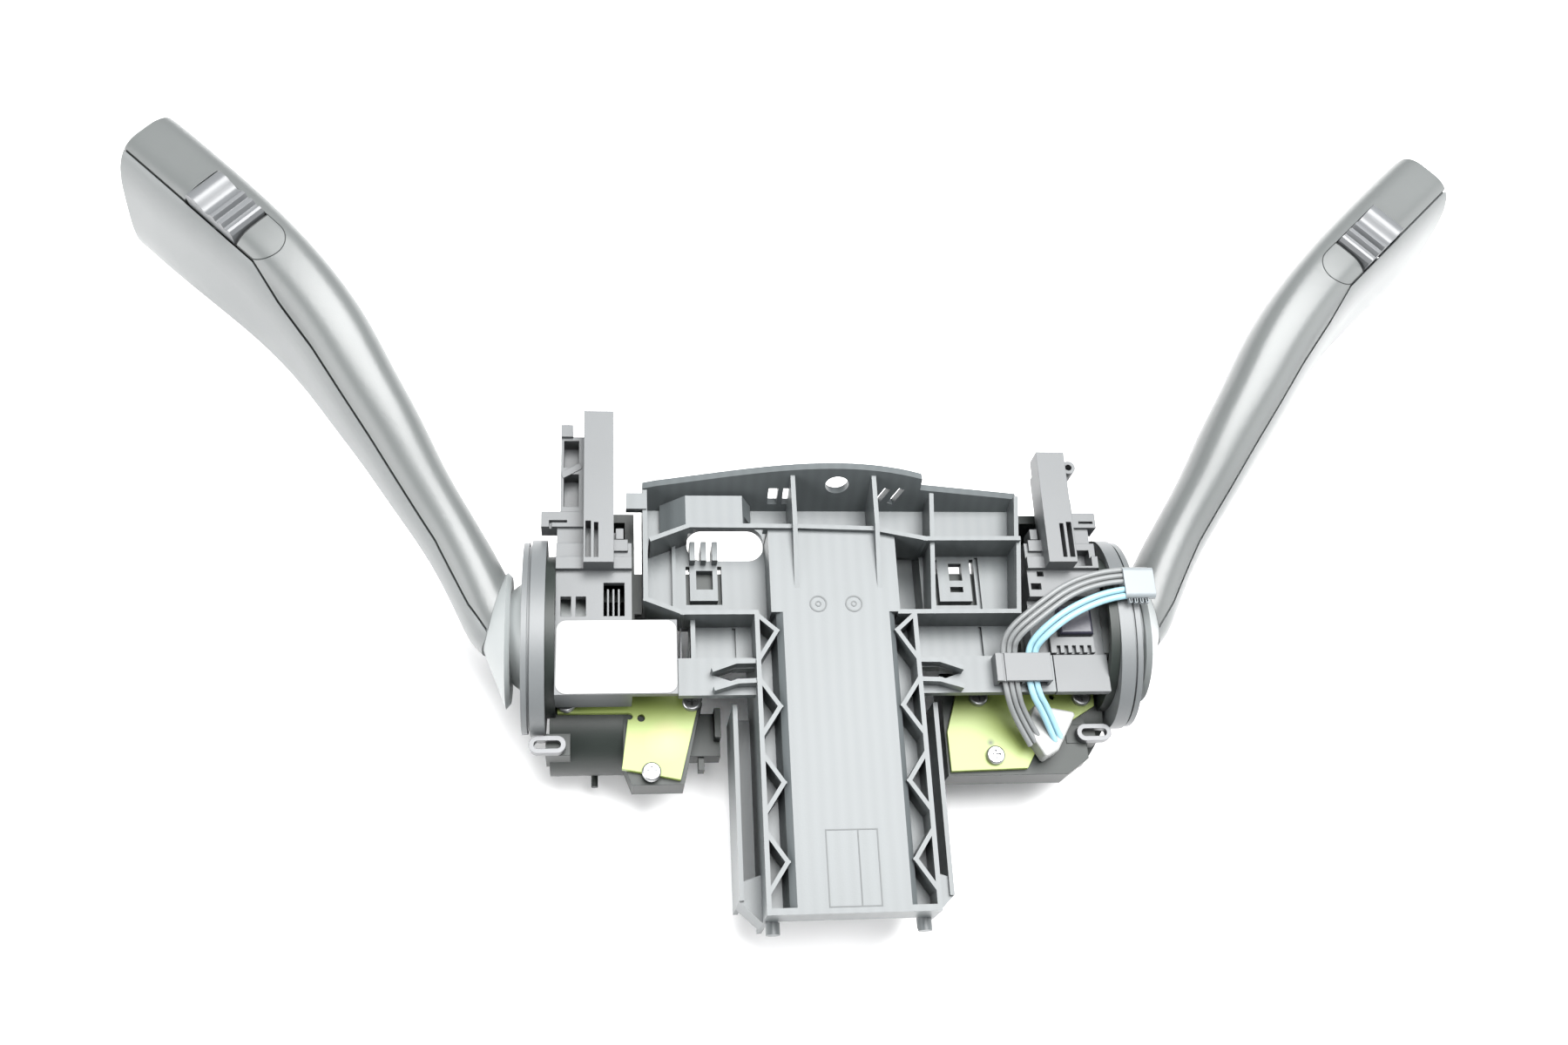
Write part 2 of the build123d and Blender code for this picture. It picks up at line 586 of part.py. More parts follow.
def carrier():
    """Frame that rocks up and down on two trunnions and holds the lever's upright pin."""
    px, py, pz = PIVOT
    ends = (px + CARRIER_X[0], px + CARRIER_X[1])
    made = box(*ends, py - CARRIER_Y, py + CARRIER_Y, pz - CARRIER_Z, pz + CARRIER_Z)
    made -= box(px + WINDOW_X, px + 10, py - WINDOW_Y, py + WINDOW_Y, pz - WINDOW_Z, pz + WINDOW_Z)
    made += rod_x(px + DETENT_BOSS_END, px + CARRIER_X[0], py, pz, DETENT_BOSS_R)
    made -= rod_x(px + DETENT_BOSS_END - 1, px + DETENT_BORE_END, py, pz, PLUNGER_R + RUNNING_GAP)
    for side in (-1, 1):
        made += rod_y(px, py + side * CARRIER_Y, py + side * TRUNNION_END, pz, TRUNNION_R)
    return made - rod(px, py, pz - 10, pz + 10, PIN_R)


def lever_pin():
    """Upright pin on which the lever is pulled and pushed."""
    return rod(PIVOT[0], PIVOT[1], PIVOT[2] - CARRIER_Z, PIVOT[2] + CARRIER_Z, PIN_R)


def detent_plunger():
    """Round-nosed plunger that feels the detent track."""
    px, py, pz = PIVOT
    made = rod_x(px + PLUNGER_X[1], px + PLUNGER_X[0], py, pz, PLUNGER_R)
    return made + Pos(px + PLUNGER_X[1], py, pz) * Sphere(PLUNGER_R)


def detent_spring():
    """Short coil spring behind the plunger."""
    px, py, pz = PIVOT
    coil = Helix(pitch=0.75, height=1.5, radius=1.3)
    profile = Plane(origin=coil @ 0, z_dir=coil % 0) * Circle(0.24)
    wound = sweep(profile, path=coil)
    return Pos(px + DETENT_BORE_END - 0.3, py, pz) * Rot(0, -90, 0) * wound


def neck_axis():
    """Start and direction of the spigot that joins the bell to the stalk."""
    start = Vector(85.4, -21.2, 29.8)
    end = Vector(*SECTIONS[2][:3])
    return start, end


def spigot(radius):
    """Round spigot from the bell into the neck."""
    start, end = neck_axis()
    plane = Plane(origin=start, z_dir=end - start)
    return extrude(plane * Circle(radius), (end - start).length)


def lever_root():
    """Hollow bell that turns in the collar, with the pivot boss inside it and the spigot outside."""
    px, py, pz = PIVOT
    shell = ball(BELL_R) - ball(BELL_R - BELL_WALL)
    bell = shell & box(px + BELL_CUT, px + 30, py - 30, py + 30, pz - 30, pz + 30)
    stem = rod_x(px, px + BELL_R - 1.0, py, pz, 4.2)
    boss = rod(px, py, pz - BOSS_HALF, pz + BOSS_HALF, BOSS_R)
    outer = (spigot(SPIGOT_R) + skirt()) - ball(BELL_R - BELL_WALL)
    return bell + stem + boss + outer - rod(px, py, pz - 10, pz + 10, PIN_R + RUNNING_GAP)


def skirt():
    """Conical skirt that carries the bell's line into the neck."""
    outlines = []
    for x, aside, half_y, half_z in SKIRT:
        plane = Plane(origin=(x, PIVOT[1] + aside, PIVOT[2]), x_dir=(0, 1, 0), z_dir=(1, 0, 0))
        outlines.append(plane * Ellipse(half_y, half_z))
    return loft(outlines, ruled=True)


def ring(section, inset):
    """Closed outline of one stalk section, moved in by inset."""
    x, y, z, heading, half_a, half_b, lean, power = section
    half_a -= inset
    half_b -= inset
    side = Vector(-sin(radians(heading)), cos(radians(heading)), 0)
    points = []
    for step in range(RING_POINTS):
        turn = 2 * pi * step / RING_POINTS
        across = half_a * copysign(abs(cos(turn)) ** (2 / power), cos(turn))
        up = half_b * copysign(abs(sin(turn)) ** (2 / power), sin(turn))
        points.append(Vector(x, y, z) + side * (across + lean * up / half_b) + Vector(0, 0, up))
    return Wire([Edge.make_spline(points, periodic=True)])


def stalk_loft(inset, first, last):
    """Smooth body through the stalk sections from first to last."""
    return Solid.make_loft([ring(section, inset) for section in SECTIONS[first:last]])


def tip_cap():
    """Rounded end of the stalk beyond its last section."""
    x, y, z, heading, half_a, half_b, lean, power = SECTIONS[-1]
    along = Vector(cos(radians(heading)), sin(radians(heading)), 0)
    end = Vector(x, y, z) + along * TIP_ROUND
    outer = (end.X, end.Y, end.Z, heading, half_a - TIP_ROUND, half_b - TIP_ROUND, lean, power)
    return Solid.make_loft([ring(SECTIONS[-1], 0), ring(outer, 0)], ruled=True)


def seam_point(along, across):
    """Point in the XY plane by its place along and across the paddle's seam."""
    turn = radians(SEAM_HEADING)
    x = SEAM_START[0] + along * cos(turn) - across * sin(turn)
    y = SEAM_START[1] + along * sin(turn) + across * cos(turn)
    return x, y


def neck_seam_point(section):
    """Seam's place on one section of the neck."""
    x, y, heading, half_a = section[0], section[1], radians(section[3]), section[4]
    return x + NECK_SEAM * half_a * sin(heading), y - NECK_SEAM * half_a * cos(heading)


def seam_side(shift):
    """Everything on the driver's side of the seam, the seam itself moved by shift."""
    paddle = [seam_point(60, shift), seam_point(SEAM_KINK, shift)]
    neck = [neck_seam_point(section) for section in reversed(SECTIONS[:8])]
    turn = [(x - shift * 0.75, y + shift * 0.66) for x, y in neck]
    points = paddle + turn + [(84.0, -40.0), (60.0, -40.0), (60.0, 160.0), (220.0, 160.0)]
    return prism(points, -20, 110)


def slot_shape(start, end, low, high, z0, z1):
    """Block along the paddle from start to end, and across it from low to high."""
    middle = seam_point((start + end) / 2, (low + high) / 2)
    place = Pos(middle[0], middle[1], z0) * Rot(0, 0, SEAM_HEADING)
    return place * extrude(Rectangle(end - start, high - low), z1 - z0)


def insert_outline():
    """U-shaped inner end of the slot."""
    centre = seam_point(INSERT_CENTRE, SLOT_WIDTH / 2)
    end = Pos(centre[0], centre[1], SLOT_FLOOR) * extrude(Circle(SLOT_WIDTH / 2), 30)
    return end + slot_shape(INSERT_CENTRE, INSERT_END, 0, SLOT_WIDTH, SLOT_FLOOR, SLOT_FLOOR + 30)


def stalk_parts():
    """Front shell, rear shell and tip insert, cut from one lofted stalk."""
    whole = Part() + stalk_loft(0, 0, None) + tip_cap()
    whole -= ball(BELL_R)
    whole -= box(60, NECK_FACE, -60, 20, 0, 60)
    whole -= spigot(SPIGOT_R) + skirt()
    core = Part() + stalk_loft(SEAM_DEPTH, 0, None)
    whole -= (seam_side(-SEAM_GROOVE / 2) - seam_side(SEAM_GROOVE / 2)) - core
    pocket = slot_shape(
        -2.6, SLOT_END + POCKET_WALL, -POCKET_WALL, SLOT_WIDTH + POCKET_WALL, SLOT_FLOOR - POCKET_WALL, 90
    )
    inner = Part() + stalk_loft(CAVITY_WALL, 3, -1) - pocket
    hollow = whole - inner
    front_side = seam_side(0)
    slot = slot_shape(INSERT_CENTRE, SLOT_END, 0, SLOT_WIDTH, SLOT_FLOOR, 90) + insert_outline()
    slot &= front_side
    pin = rocker_pin()
    front = (hollow & front_side) - slot - pin
    rear = hollow - front_side - pin
    insert = (whole & insert_outline() & front_side) - slot_shape(INSERT_END, 40, -5, 25, 0, 100)
    return front, rear, insert


def rocker_pin():
    """Cross pin of the rocker."""
    start = seam_point(ROCKER_AXIS[0], ROCKER_PIN_ENDS[0])
    end = seam_point(ROCKER_AXIS[0], ROCKER_PIN_ENDS[1])
    origin = Vector(start[0], start[1], ROCKER_AXIS[1])
    plane = Plane(origin=origin, z_dir=Vector(end[0] - start[0], end[1] - start[1], 0))
    return extrude(plane * Circle(ROCKER_PIN_R), ROCKER_PIN_ENDS[1] - ROCKER_PIN_ENDS[0])


def rocker():
    """Ribbed rocker, drawn as a side profile and drawn out across the slot."""
    start, end = ROCKER_ENDS
    origin = seam_point(0, ROCKER_GAP)
    turn = radians(SEAM_HEADING)
    plane = Plane(
        origin=(origin[0], origin[1], 0),
        x_dir=(cos(turn), sin(turn), 0),
        z_dir=(sin(turn), -cos(turn), 0),
    )
    crown = Spline(
        (end, ROCKER_TOP - 4.6),
        (end - 0.9, ROCKER_TOP - 0.2),
        (end - 3.6, ROCKER_TOP),
        (end - 6.4, ROCKER_TOP - 1.6),
        (start + 8.4, ROCKER_TOP - 1.0),
    )
    teeth = [(start + 8.4, ROCKER_TOP - 1.0)]
    for tooth in (7.1, 4.0):
        teeth.append((start + tooth + 0.5, ROCKER_TOP - 0.2))
        teeth.append((start + tooth - 0.5, ROCKER_TOP - 0.2))
        teeth.append((start + tooth - 1.1, ROCKER_TOP - 1.6))
        teeth.append((start + tooth - 2.0, ROCKER_TOP - 1.6))
    teeth += [
        (start + 1.4, ROCKER_TOP - 0.8),
        (start + 0.6, ROCKER_TOP - 1.0),
        (start, ROCKER_TOP - 2.2),
        (start, ROCKER_TOP - 6.6),
        (start + 2.0, ROCKER_BASE),
        (end - 2.0, ROCKER_BASE),
        (end, ROCKER_TOP - 4.6),
    ]
    body = extrude(plane * make_face(crown + Polyline(*teeth)), -(SLOT_WIDTH - 2 * ROCKER_GAP))
    axis = seam_point(ROCKER_AXIS[0], -5)
    far = seam_point(ROCKER_AXIS[0], 20)
    heading = Vector(far[0] - axis[0], far[1] - axis[1], 0)
    bore = Plane(origin=(axis[0], axis[1], ROCKER_AXIS[1]), z_dir=heading)
    return body - extrude(bore * Circle(ROCKER_PIN_R + RUNNING_GAP), 25)


def retaining_loop(place):
    """Flat loop beside the board tray."""
    length, width = LOOP_SIZE
    bar = 2 * LOOP_WALL
    low = Pos(place[0], place[1], TRAY_TOP + 0.2)
    outer = low * extrude(RectangleRounded(length, width, width / 2 - 0.05), 2.4)
    inner = low * extrude(RectangleRounded(length - bar, width - bar, width / 2 - LOOP_WALL - 0.05), 4)
    return outer - inner


def screws(places):
    """Pan-head board screws with a cross recess."""
    made = []
    for x, y in places:
        base = TRAY_TOP + BOARD_THICK
        head = rod(x, y, base, base + SCREW_HEAD, SCREW_HEAD_R)
        head = fillet(head.edges().group_by(Axis.Z)[-1], 0.6)
        recess = box(x - 1.3, x + 1.3, y - 0.25, y + 0.25, base + 0.8, base + 3)
        recess += box(x - 0.25, x + 0.25, y - 1.3, y + 1.3, base + 0.8, base + 3)
        made.append(head + rod(x, y, base - SCREW_LENGTH, base, SCREW_R) - recess)
    return Compound([item.solid() for item in made])


def board(outline, places, holes):
    """Circuit board with screw holes and small round openings."""
    made = prism(outline, TRAY_TOP, TRAY_TOP + BOARD_THICK)
    for x, y in places:
        made -= rod(x, y, TRAY_TOP - 1, TRAY_TOP + 4, SCREW_R + 0.3)
    for x, y, radius in holes:
        made -= rod(x, y, TRAY_TOP - 1, TRAY_TOP + 4, radius)
    return made


def label():
    """Plain adhesive label with rounded corners."""
    width = LABEL_X[1] - LABEL_X[0]
    height = LABEL_Y[1] - LABEL_Y[0]
    centre = Pos((LABEL_X[0] + LABEL_X[1]) / 2, (LABEL_Y[0] + LABEL_Y[1]) / 2, COVER_TOP)
    return centre * extrude(RectangleRounded(width, height, 2.6), LABEL_THICK)


def cable_clip():
    """Box clip on the arm with one channel for the grey leads and one for the blue."""
    made = box(*CLIP_X, *CLIP_Y, ARM_TOP, CLIP_TOP)
    made -= box(CLIP_X[0] + 0.9, 48.0, -50, -30, ARM_TOP + 0.7, CLIP_TOP - 1.2)
    made -= box(48.7, CLIP_X[1] - 0.8, -50, -30, ARM_TOP + 0.7, CLIP_TOP - 1.2)
    made -= box(CLIP_X[0] + 1.8, CLIP_X[0] + 2.4, *CLIP_Y, CLIP_TOP - 0.4, CLIP_TOP + 1)
    return made


def wire(points, bend, radius):
    """Round lead along straight runs joined by equal bends."""
    path = FilletPolyline(*points, radius=bend)
    profile = Plane(origin=path @ 0, z_dir=path % 0) * Circle(radius)
    return sweep(profile, path=path)


def beside(points, aside):
    """The same route, moved sideways by aside at every point."""
    moved = []
    for step, point in enumerate(points):
        before = points[max(step - 1, 0)]
        after = points[min(step + 1, len(points) - 1)]
        run_x, run_y = after[0] - before[0], after[1] - before[1]
        length = sqrt(run_x**2 + run_y**2)
        moved.append((point[0] - aside * run_y / length, point[1] + aside * run_x / length, point[2]))
    return moved


def leads(route, sides, radius):
    """Parallel leads along one route."""
    return Compound([wire(beside(route, aside), LEAD_BEND, radius).solid() for aside in sides])


def lead_sleeve(held):
    """Pale sleeve on the collar, where the leads leave the lever."""
    made = box(76.4, 84.6, -23.9, -15.3, SLEEVE_LEAD_Z - 1.4, SLEEVE_LEAD_Z + 1.4)
    made = fillet(made.edges().filter_by(Axis.X), 1.2)
    foot = box(76.4, 80.8, -22.9, -16.3, COLLAR_TOP - 1.8, SLEEVE_LEAD_Z - 1.1)
    return made + (foot - collar()) - held


def sensor():
    """Dark moulded sensor in the right cover's recess."""
    made = box(60.4, 69.6, -30.6, -22.6, RECESS_TOP, RECESS_TOP + 2.4)
    return fillet(made.edges().group_by(Axis.Z)[-1], 0.8)


def header():
    """Pale pin header beside the sensor."""
    made = box(57.4, 69.4, -35.8, -31.4, RECESS_TOP, RECESS_TOP + 2.0)
    for step in range(5):
        x = 59.0 + step * 2.1
        made -= box(x, x + 1.0, -36.2, -33.8, RECESS_TOP + 0.6, RECESS_TOP + 3)
    return made


def plug(held):
    """Pale plug on the right board, with the leads set into its top."""
    base = TRAY_TOP + BOARD_THICK
    body = prism(PLUG_OUTLINE, base, base + PLUG_HEIGHT)
    body = fillet(body.edges().filter_by(Axis.Z), 0.9)
    body = fillet(body.edges().group_by(Axis.Z)[-1], 0.5)
    return body - held


def write(name, shape):
    """Move a piece on to the datum and save it."""
    moved = shape.moved(Location((0, -DATUM_Y, 0)))
    moved.label = name
    export_step(moved, f"parts/{name}.step")


def write_pair(name, shape):
    """Save a right-hand piece and its left-hand mirror image."""
    write(f"right_{name}", shape)
    write(f"left_{name}", shape.mirror(Plane.YZ))


RIGHT_TRAY = [(30.0, -36.6), (30.0, -64.8), (62.5, -64.8), (68.6, -60.6), (68.6, -50.0), (54.0, -36.6)]
LEFT_TRAY = [(33.0, -36.6), (35.0, -46.0), (39.4, -65.8), (52.8, -65.8), (55.0, -60.0), (55.0, -36.6)]
RIGHT_BOARD = [
    (34.6, -40.0),
    (30.4, -53.3),
    (30.6, -63.9),
    (51.2, -63.4),
    (55.6, -56.0),
    (71.4, -46.6),
    (71.8, -40.0),
]
LEFT_BOARD = [
    (34.8, -40.0),
    (34.8, -42.2),
    (40.4, -64.9),
    (55.4, -61.8),
    (53.6, -46.9),
    (72.0, -46.9),
    (72.0, -40.0),
]


def main():
    os.makedirs("parts", exist_ok=True)
    write("column_bracket", column_bracket())
    write("tongue_plate", tongue_plate())
    write_pair("tongue_side", tongue_side())
    write("right_housing", housing(RIGHT_TRAY, RIGHT_SCREWS, False))
    write("left_housing", housing(LEFT_TRAY, LEFT_SCREWS, True).mirror(Plane.YZ))
    write("right_cover", cover(19.8, False))
    write("left_cover", cover(31.0, True).mirror(Plane.YZ))
    write("right_board", board(RIGHT_BOARD, RIGHT_SCREWS, ((60.0, -44.0, 0.8),)))
    left_board = board(LEFT_BOARD, LEFT_SCREWS, ((50.4, -48.4, 1.0), (53.4, -47.9, 0.9)))
    write("left_board", left_board.mirror(Plane.YZ))
    write("right_board_screws", screws(RIGHT_SCREWS))
    write("left_board_screws", screws(LEFT_SCREWS).mirror(Plane.YZ))
    front, rear, insert = stalk_parts()
    pairs = {
        "collar": collar(),
        "lever_root": lever_root(),
        "carrier": carrier(),
        "lever_pin": lever_pin(),
        "detent_plunger": detent_plunger(),
        "detent_spring": detent_spring(),
        "stalk_front": front,
        "stalk_rear": rear,
        "tip_insert": insert,
        "rocker": rocker(),
        "rocker_pin": rocker_pin(),
    }
    for name, shape in pairs.items():
        write_pair(name, shape)
    write("right_retaining_loop", retaining_loop(LOOP_RIGHT))
    write("left_retaining_loop", retaining_loop(LOOP_LEFT).mirror(Plane.YZ))
    write("label", label().mirror(Plane.YZ))
    write("cable_clip", cable_clip())
    write("sensor", sensor())
    write("pin_header", header())
    blue = leads(BLUE_ROUTE, (-0.9, 0.9), BLUE_WIRE_R)
    grey = leads(GREY_ROUTE, (-1.6, 0.0, 1.6), GREY_WIRE_R)
    write("blue_leads", blue)
    write("grey_leads", grey)
    write("lead_sleeve", lead_sleeve([*blue.solids(), *grey.solids()]))
    write("plug", plug([*blue.solids(), *grey.solids()]))


if __name__ == "__main__":
    main()
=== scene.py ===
import bmesh
import bpy
import math
from mathutils import Matrix, Vector


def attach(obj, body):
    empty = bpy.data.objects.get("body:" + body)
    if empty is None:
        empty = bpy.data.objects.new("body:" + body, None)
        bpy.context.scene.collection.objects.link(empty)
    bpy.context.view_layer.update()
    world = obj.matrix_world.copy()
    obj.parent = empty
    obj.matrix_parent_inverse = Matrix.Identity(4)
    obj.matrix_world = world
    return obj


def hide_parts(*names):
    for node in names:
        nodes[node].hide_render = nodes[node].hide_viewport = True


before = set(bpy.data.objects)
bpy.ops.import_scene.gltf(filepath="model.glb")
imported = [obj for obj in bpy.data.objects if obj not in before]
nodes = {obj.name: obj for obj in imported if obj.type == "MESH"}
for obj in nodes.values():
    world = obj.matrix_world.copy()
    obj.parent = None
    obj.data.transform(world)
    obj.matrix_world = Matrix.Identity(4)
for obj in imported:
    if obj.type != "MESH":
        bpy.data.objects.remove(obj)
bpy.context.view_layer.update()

SIDES = ("left", "right")
MM_PER_METRE = 1000

# The frame's origin along the column, in the source's millimetres
DATUM_Y = 3.202

# The photo's camera: place in metres, in the frame, then its two directions and its lens
CAMERA_AT = Vector((-0.0617, -0.167302, 0.4138))
CAMERA_LOOK = Vector((0.1212, 0.4048, -0.9063))
CAMERA_UP = Vector((-0.0026, 0.9132, 0.4075))
LENS_MM = 35.0
SENSOR_MM = 36.0

# Lights: name, place, aim and width in metres, power in watts
LIGHTS = (
    ("overhead", (0.14, 0.20, 1.05), (0, 0, 0), 0.8, 39),
    ("fill_left", (-0.9, -0.35, 0.45), (0, 0, 0.03), 0.7, 11),
    ("fill_right", (0.9, -0.15, 0.45), (0, 0, 0.03), 0.7, 6),
)
SKY_COLOUR = (0.95, 0.97, 1.0)
SKY_STRENGTH = 0.28
FLOOR_SIZE = 8

# Surface colours, linear
BRACKET_GREY = (0.080, 0.090, 0.093)
COVER_GREY = (0.068, 0.073, 0.076)
DARK_SHELL = (0.015, 0.019, 0.017)
MARK_GREY = (0.050, 0.056, 0.058)
COLLAR_GREY = (0.100, 0.107, 0.110)
BELL_GREY = (0.225, 0.240, 0.240)
STALK_GREY = (0.090, 0.096, 0.095)
STALK_REAR_LIT_GREY = (0.118, 0.126, 0.126)
# The rear shell is the stalk's grey made lighter: painted light on the stalk's side that faces down
# and out.
ROCKER_GREY = (0.105, 0.110, 0.114)
BOARD_GREEN = (0.205, 0.262, 0.064)
BOARD_ORANGE = (0.290, 0.225, 0.100)
BOARD_DARK = (0.020, 0.035, 0.012)
LABEL_WHITE = (0.300, 0.300, 0.296)
PLUG_WHITE = (0.210, 0.215, 0.210)
SLEEVE_WHITE = (0.170, 0.190, 0.200)
WIRE_BLUE = (0.200, 0.350, 0.410)
WIRE_GREY = (0.140, 0.147, 0.148)
SEAM_SHADOW = (0.010, 0.012, 0.012)
STEEL = (0.300, 0.305, 0.310)
LOOP_STEEL = (0.085, 0.088, 0.092)
SENSOR_DARK = (0.020, 0.020, 0.032)
FLOOR_WHITE = (0.92, 0.92, 0.92)

# Depth of a surface's grain, metres
SMOOTH = 0.00001
FINE = 0.00002
SOFT = 0.00003
MOULDED = 0.00004

# Surfaces: colour, roughness, share by which the tone varies, scale and depth of the grain
FINISHES = {
    "bracket_plastic": (BRACKET_GREY, 0.42, 0.03, 2600, MOULDED),
    "cover_plastic": (COVER_GREY, 0.42, 0.04, 2400, MOULDED),
    "housing_plastic": (DARK_SHELL, 0.45, 0.08, 2200, MOULDED),
    "collar_plastic": (COLLAR_GREY, 0.42, 0.04, 2400, MOULDED),
    "bell_plastic": (BELL_GREY, 0.42, 0.03, 2400, SOFT),
    "stalk_plastic": (STALK_GREY, 0.36, 0.04, 3200, MOULDED),
    "stalk_rear_lit_plastic": (STALK_REAR_LIT_GREY, 0.38, 0.05, 3200, MOULDED),
    "rocker_plastic": (ROCKER_GREY, 0.34, 0.04, 3000, SOFT),
    "board_green": (BOARD_GREEN, 0.42, 0.07, 1500, SOFT),
    "board_green_warm": (BOARD_GREEN, 0.42, 0.07, 1500, SOFT),
    "label_paper": (LABEL_WHITE, 0.6, 0.015, 4000, SMOOTH),
    "plug_plastic": (PLUG_WHITE, 0.4, 0.03, 2000, FINE),
    "sleeve_plastic": (SLEEVE_WHITE, 0.45, 0.04, 2000, SOFT),
    "lead_blue": (WIRE_BLUE, 0.4, 0.05, 1800, FINE),
    "lead_grey": (WIRE_GREY, 0.42, 0.08, 1800, FINE),
    "steel": (STEEL, 0.3, 0.06, 1600, FINE),
    "loop_steel": (LOOP_STEEL, 0.38, 0.06, 1600, FINE),
    "sensor_plastic": (SENSOR_DARK, 0.35, 0.15, 1800, SOFT),
    "mark_plastic": (MARK_GREY, 0.5, 0.05, 2600, FINE),
    "seam_shadow": (SEAM_SHADOW, 0.6, 0.05, 2000, SMOOTH),
    "floor_paper": (FLOOR_WHITE, 0.9, 0.005, 200, SMOOTH),
}
METALLIC = {"steel": 0.85, "loop_steel": 0.2}
SHELL_SPECULAR = 0.3
TONE_SCALE = 26.0
TONE_DETAIL = 3.0
TONE_STOPS = (0.35, 0.65)
GRAIN_DETAIL = 2.0
GRAIN_STRENGTH = 0.35

# Edges that look rounded, metres, and the surfaces whose edges stay sharp
EDGE_R = 0.0002
EDGE_SAMPLES = 4
SHARP_SURFACES = ("bracket_plastic", "mark_plastic", "seam_shadow")
SMOOTH_DEGREES = 32

# Surface of each node, and of each side's nodes; the rest is steel
NODE_SURFACES = {
    "column_bracket": "bracket_plastic",
    "tongue_plate": "bracket_plastic",
    "left_tongue_side": "bracket_plastic",
    "right_tongue_side": "bracket_plastic",
    "cable_clip": "cover_plastic",
    "label": "label_paper",
    "plug": "plug_plastic",
    "lead_sleeve": "sleeve_plastic",
    "blue_leads": "lead_blue",
    "grey_leads": "lead_grey",
    "sensor": "sensor_plastic",
    "pin_header": "cover_plastic",
    "left_board": "board_green_warm",
    "right_board": "board_green",
}
SIDE_SURFACES = {
    "cover": "cover_plastic",
    "housing": "housing_plastic",
    "collar": "collar_plastic",
    "lever_root": "bell_plastic",
    "carrier": "bell_plastic",
    "detent_plunger": "bell_plastic",
    "stalk_front": "stalk_plastic",
    "stalk_rear": "stalk_rear_lit_plastic",
    "tip_insert": "stalk_plastic",
    "rocker": "rocker_plastic",
    "retaining_loop": "loop_steel",
}

# Faint lines along the tongue
LINES_SCALE = 95.0
LINES_WANDER = 1.2
LINES_DETAIL = 0.4
LINES_DARKEST = (0.92, 0.92, 0.92)

# Orange and dark spots on the boards, millimetres
WARM_SPOT_PLACE = (-43.9, -54.5, 29.9)
WARM_SPOT_R = 6.0
DARK_SPOT_PLACE = (41.8, -56.4, 29.9)
DARK_SPOT_R = 1.3

# Marks moulded into the tongue, millimetres
TONGUE_TOP = 46.0
MARK_HEIGHT = 0.12
RING_PLACES = ((-4.6, -23.0), (4.8, -23.0))
RING_R = 2.3
RING_LINE = 0.4
RING_STEPS = 40
DOT_R = 0.8
DOT_LINE = 0.3
DOT_STEPS = 24
PANEL = (-6.3, 6.8, -101.0, -82.1)
PANEL_LINE = 0.3
BAR_ASIDE = 1.4
BAR_WIDTH = 0.3
BAR_LINE = 0.1

# Teeth along the sleeve's edge, millimetres
TEETH = 4
TOOTH_X = 77.4
TOOTH_PITCH = 1.5
TOOTH_WIDTH = 0.8
TOOTH_Y = (-25.1, -23.6)
TOOTH_Z = (50.2, 51.6)
TOOTH_WALL = 0.2

# Painted shadow: a dark line round each stalk's insert, metres, and how upright and how flat its two
# faces are
SEAM_LINE_R = 0.00014
SEAM_LINE_LOW = 0.0625
SEAM_MERGE = 0.000002
SEAM_UPRIGHT = 0.35
SEAM_FLAT = 0.5
SEAM_ROUNDNESS = 2

# Leads, millimetres: radii, for each lead its distance beside the route and its length, and routes
BLUE_LEAD_R = 0.85
GREY_LEAD_R = 0.75
BLUE_LEADS = ((-0.9, 66.9), (0.9, 63.5))
GREY_LEADS = ((-1.6, 77.4), (0.0, 74.2), (1.6, 71.0))
BLUE_ROUTE = (
    (83.4, -21.8, 51.3),
    (75.0, -21.8, 51.3),
    (62.0, -26.6, 51.0),
    (53.2, -32.8, 48.0),
    (51.0, -36.2, 44.0),
    (51.0, -46.8, 44.0),
    (55.2, -50.6, 38.6),
    (58.8, -57.4, 34.4),
)
GREY_ROUTE = (
    (83.4, -17.4, 51.3),
    (75.0, -17.0, 51.3),
    (62.6, -20.2, 51.0),
    (53.0, -26.8, 50.0),
    (45.7, -32.2, 47.6),
    (45.1, -36.2, 44.0),
    (45.1, -46.8, 44.0),
    (48.2, -51.4, 37.6),
    (52.6, -57.6, 34.2),
)
LEAD_ROUNDNESS = 5
LEAD_STEPS = 16
LEAD_ORDER = 3


def metres(x, y, z):
    """Source millimetres as a point in the frame."""
    return Vector((x, y - DATUM_Y, z)) / MM_PER_METRE


def shader_of(surface):
    """A surface's main shader node."""
    return surface.node_tree.nodes["Principled BSDF"]


